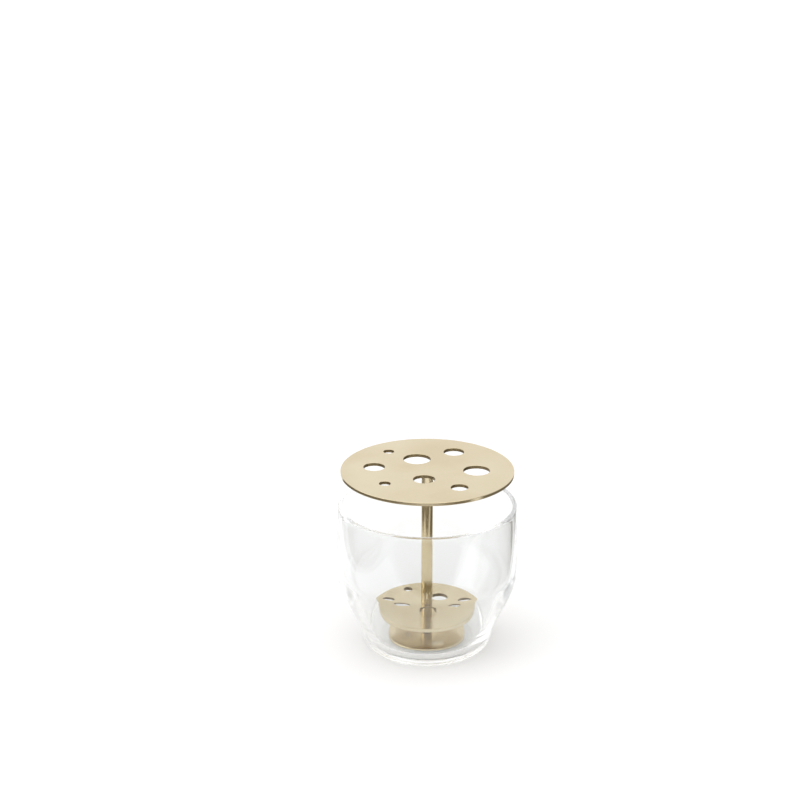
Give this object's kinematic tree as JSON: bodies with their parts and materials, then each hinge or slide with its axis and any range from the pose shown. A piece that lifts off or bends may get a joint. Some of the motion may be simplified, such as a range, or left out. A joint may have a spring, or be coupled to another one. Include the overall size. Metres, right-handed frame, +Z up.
{
  "type": "flower frog",
  "caption": "Round clear glass vase with a tiered brass flower frog: perforated discs above the rim and near the floor, on one centre post, hold stems apart.",
  "frame": {"origin": "centre of the vase's underside, on the surface it stands on", "axes": "+Z up along the post, +X to the right and +Y to the back as seen from the front"},
  "size_m": [0.1324, 0.1324, 0.1384],
  "materials": {
    "clear_glass": "clear, polished, colourless",
    "champagne_brass": "pale champagne brass, fine satin turned grain",
    "clear_pad": "translucent soft silicone, matt"
  },
  "bodies": {
    "vase": {"glass_vase": "clear_glass"},
    "pad": {"foot_pad": "clear_pad"},
    "frog": {"foot_disc": "champagne_brass", "foot_screw": "champagne_brass", "lower_post": "champagne_brass", "lower_plate": "champagne_brass", "joining_stud": "champagne_brass", "upper_post": "champagne_brass", "upper_plate": "champagne_brass", "weld_stud": "champagne_brass"}
  },
  "joints": [
    {"name": "frog_lift", "type": "slide", "parent": "vase", "child": "pad", "axis": [0, 0, 1], "range_m": [0, 0.12]},
    {"name": "frog_turn", "type": "hinge", "parent": "pad", "child": "frog", "pos_m": [0, 0, 0.0074], "axis": [0, 0, 1], "continuous": true}
  ]
}
